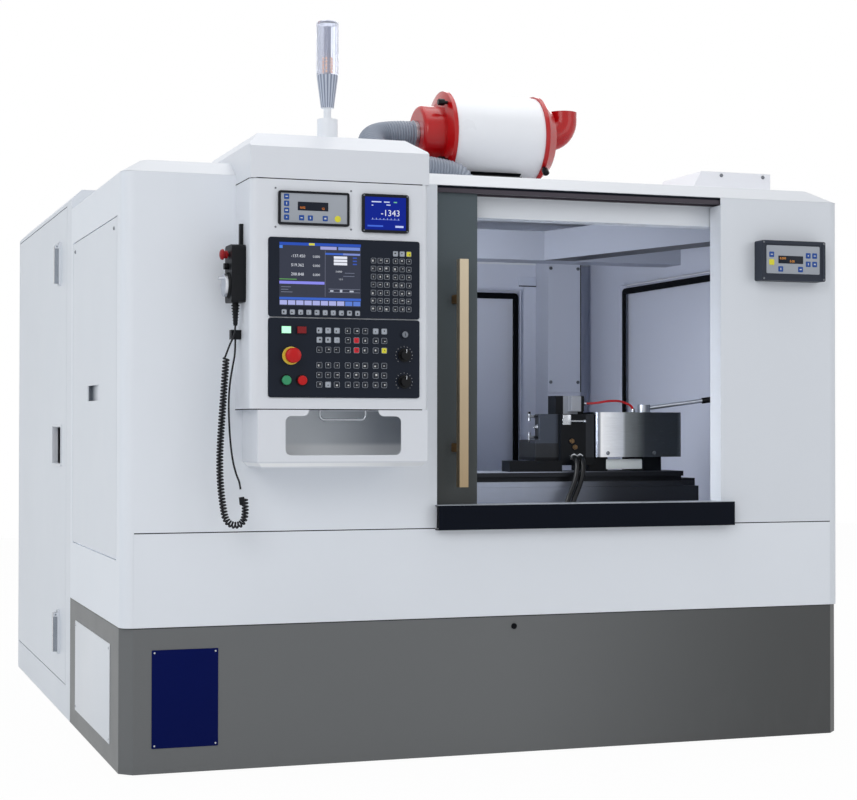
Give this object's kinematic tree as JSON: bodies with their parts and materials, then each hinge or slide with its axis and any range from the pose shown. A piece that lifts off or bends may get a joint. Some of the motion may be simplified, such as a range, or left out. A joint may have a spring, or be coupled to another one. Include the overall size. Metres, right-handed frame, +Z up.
{
  "type": "cylindrical grinder",
  "caption": "Enclosed cylindrical grinding machine with sliding front door, operator console, electrical cabinet at the rear left and a mist collector on the roof.",
  "frame": {"origin": "on the floor, under the levelling pad at the middle of the machine's width and depth", "axes": "+X to the operator's right along the table, +Y from the front to the rear, +Z up"},
  "size_m": [2.144, 2.4643, 1.955],
  "materials": {
    "white_paint": "satin powder coat",
    "grey_paint": "satin powder coat, dark green-grey",
    "black_paint": "matt powder coat",
    "liner_paint": "satin paint, pale blue-grey",
    "cast": "machined and painted casting",
    "steel": "ground steel",
    "chrome": "polished",
    "alu": "turned aluminium",
    "gold_alu": "champagne anodised",
    "red_plastic": "gloss",
    "white_plastic": "gloss",
    "black_plastic": "matt",
    "grey_plastic": "matt",
    "green_plastic": "gloss",
    "lens": "clear ribbed plastic",
    "glass": "clear laminated",
    "rubber": "matt",
    "hose": "grey ribbed hose",
    "abrasive": "bonded grit"
  },
  "bodies": {
    "machine": {"bed": "cast", "plinth_skirt": "grey_paint", "front_apron": "white_paint", "left_column": "white_paint", "right_column": "white_paint", "roof_panel": "white_paint", "right_side_panel": "white_paint", "rear_panel": "white_paint", "door_tracks": "black_paint", "chamber_liner": "liner_paint", "cabinet_shell": "white_paint", "drive_rack": "grey_plastic", "console_housing": "white_paint", "console_hood": "white_paint", "console_pocket": "white_paint", "console_pull": "chrome", "display_unit": "black_plastic", "operator_panel": "black_plastic", "console_instruments": "grey_plastic", "mist_drum": "white_paint", "mist_caps": "red_plastic", "mist_hose": "hose", "beacon_base": "white_plastic", "beacon_lens": "lens", "monitor_box": "black_plastic", "pendant_brackets": "black_plastic", "pendant_body": "black_plastic", "pendant_coil": "rubber", "pendant_lead": "rubber"},
    "front_door": {"door_frame": "grey_paint", "door_glass": "glass", "door_handle": "gold_alu"},
    "cabinet_door_leaf": {"cabinet_door": "white_paint"},
    "upper_latch_lever": {"upper_latch": "chrome"},
    "lower_latch_lever": {"lower_latch": "chrome"},
    "isolator": {"isolator_lever": "red_plastic"},
    "side_door_leaf": {"side_door": "white_paint"},
    "service_door_leaf": {"service_door": "white_paint"},
    "lower_table": {"table_slide": "steel"},
    "upper_table": {"swivel_table": "steel", "workhead": "cast", "tailstock": "cast", "tailstock_cover": "steel", "tailstock_hoses": "rubber"},
    "head_spindle": {"work_spindle": "steel"},
    "quill": {"tailstock_quill": "steel"},
    "hand_lever": {"quill_lever": "steel"},
    "cross_slide": {"wheelhead": "cast"},
    "wheel": {"grinding_wheel": "abrasive"},
    "estop": {"estop_button": "red_plastic"},
    "start": {"start_button": "green_plastic"},
    "stop": {"stop_button": "red_plastic"},
    "power_on": {"power_on_button": "green_plastic"},
    "power_off": {"power_off_button": "red_plastic"},
    "feed_knob": {"feed_dial": "black_plastic"},
    "rapid_knob": {"rapid_dial": "black_plastic"},
    "key_barrel": {"key_switch": "chrome"},
    "pendant_wheel": {"pendant_handwheel": "alu"},
    "pendant_stop": {"pendant_estop": "red_plastic"},
    "pendant_knob": {"pendant_selector": "black_plastic"}
  },
  "joints": [
    {"name": "door_slide", "type": "slide", "parent": "machine", "child": "front_door", "axis": [1, 0, 0], "range_m": [0, 0.728]},
    {"name": "cabinet_door_hinge", "type": "hinge", "parent": "machine", "child": "cabinet_door_leaf", "pos_m": [-1.033, 1.095, 0.832], "axis": [0, 0, -1], "range_deg": [0, 105]},
    {"name": "upper_latch_turn", "type": "hinge", "parent": "cabinet_door_leaf", "child": "upper_latch_lever", "pos_m": [-1.054, 0.03, 1.449], "axis": [0, 1, 0], "range_deg": [0, 75]},
    {"name": "lower_latch_turn", "type": "hinge", "parent": "cabinet_door_leaf", "child": "lower_latch_lever", "pos_m": [-1.054, 0.03, 0.303], "axis": [0, 1, 0], "range_deg": [0, 75]},
    {"name": "isolator_turn", "type": "hinge", "parent": "machine", "child": "isolator", "pos_m": [-1.004, 0.088, 0.829], "axis": [1, 0, 0], "range_deg": [0, 90]},
    {"name": "side_door_hinge", "type": "hinge", "parent": "machine", "child": "side_door_leaf", "pos_m": [-1.033, -0.269, 0.989], "axis": [0, 0, -1], "range_deg": [0, 95]},
    {"name": "service_door_hinge", "type": "hinge", "parent": "machine", "child": "service_door_leaf", "pos_m": [1.033, 0.311, 0.98], "axis": [0, 0, 1], "range_deg": [0, 105]},
    {"name": "table_traverse", "type": "slide", "parent": "machine", "child": "lower_table", "axis": [1, 0, 0], "range_m": [-0.14, 0.05]},
    {"name": "table_swivel", "type": "hinge", "parent": "lower_table", "child": "upper_table", "pos_m": [0.114, -0.67, 0.712], "axis": [0, 0, 1], "range_deg": [-3, 3]},
    {"name": "work_spindle_turn", "type": "hinge", "parent": "upper_table", "child": "head_spindle", "pos_m": [-0.186, -0.67, 0.888], "axis": [1, 0, 0], "continuous": true},
    {"name": "lever_turn", "type": "hinge", "parent": "upper_table", "child": "hand_lever", "pos_m": [0.633, -0.67, 0.948], "axis": [0, 0, 1], "range_deg": [-50, 0]},
    {"name": "quill_slide", "type": "slide", "parent": "upper_table", "child": "quill", "axis": [1, 0, 0], "range_m": [0, 0.0305]},
    {"name": "wheelhead_infeed", "type": "slide", "parent": "machine", "child": "cross_slide", "axis": [0, -1, 0], "range_m": [0, 0.2]},
    {"name": "wheel_spin", "type": "hinge", "parent": "cross_slide", "child": "wheel", "pos_m": [0.015, -0.24, 0.888], "axis": [1, 0, 0], "continuous": true},
    {"name": "estop_press", "type": "slide", "parent": "machine", "child": "estop", "axis": [0, 1, 0], "range_m": [0, 0.006], "stiffness_N_per_m": 800, "springref_m": -0.002},
    {"name": "start_press", "type": "slide", "parent": "machine", "child": "start", "axis": [0, 1, 0], "range_m": [0, 0.004], "stiffness_N_per_m": 800, "springref_m": -0.002},
    {"name": "stop_press", "type": "slide", "parent": "machine", "child": "stop", "axis": [0, 1, 0], "range_m": [0, 0.004], "stiffness_N_per_m": 800, "springref_m": -0.002},
    {"name": "power_on_press", "type": "slide", "parent": "machine", "child": "power_on", "axis": [0, 1, 0], "range_m": [0, 0.004], "stiffness_N_per_m": 800, "springref_m": -0.002},
    {"name": "power_off_press", "type": "slide", "parent": "machine", "child": "power_off", "axis": [0, 1, 0], "range_m": [0, 0.004], "stiffness_N_per_m": 800, "springref_m": -0.002},
    {"name": "feed_turn", "type": "hinge", "parent": "machine", "child": "feed_knob", "pos_m": [-0.345, -1.291, 1.073], "axis": [0, -1, 0], "range_deg": [-135, 135]},
    {"name": "rapid_turn", "type": "hinge", "parent": "machine", "child": "rapid_knob", "pos_m": [-0.345, -1.291, 1.005], "axis": [0, -1, 0], "range_deg": [-135, 135]},
    {"name": "key_turn", "type": "hinge", "parent": "machine", "child": "key_barrel", "pos_m": [-0.344, -1.291, 1.126], "axis": [0, -1, 0], "range_deg": [0, 90]},
    {"name": "handwheel_turn", "type": "hinge", "parent": "machine", "child": "pendant_wheel", "pos_m": [-0.785, -1.2, 1.248], "axis": [-1, 0, 0], "continuous": true},
    {"name": "pendant_stop_press", "type": "slide", "parent": "machine", "child": "pendant_stop", "axis": [1, 0, 0], "range_m": [0, 0.003], "stiffness_N_per_m": 800, "springref_m": -0.002},
    {"name": "pendant_selector_turn", "type": "hinge", "parent": "machine", "child": "pendant_knob", "pos_m": [-0.785, -1.2, 1.296], "axis": [-1, 0, 0], "range_deg": [-60, 60]}
  ],
  "couplings": [
    {"joint": "quill_slide", "follows": "lever_turn", "m_per_rad": -0.03495}
  ]
}
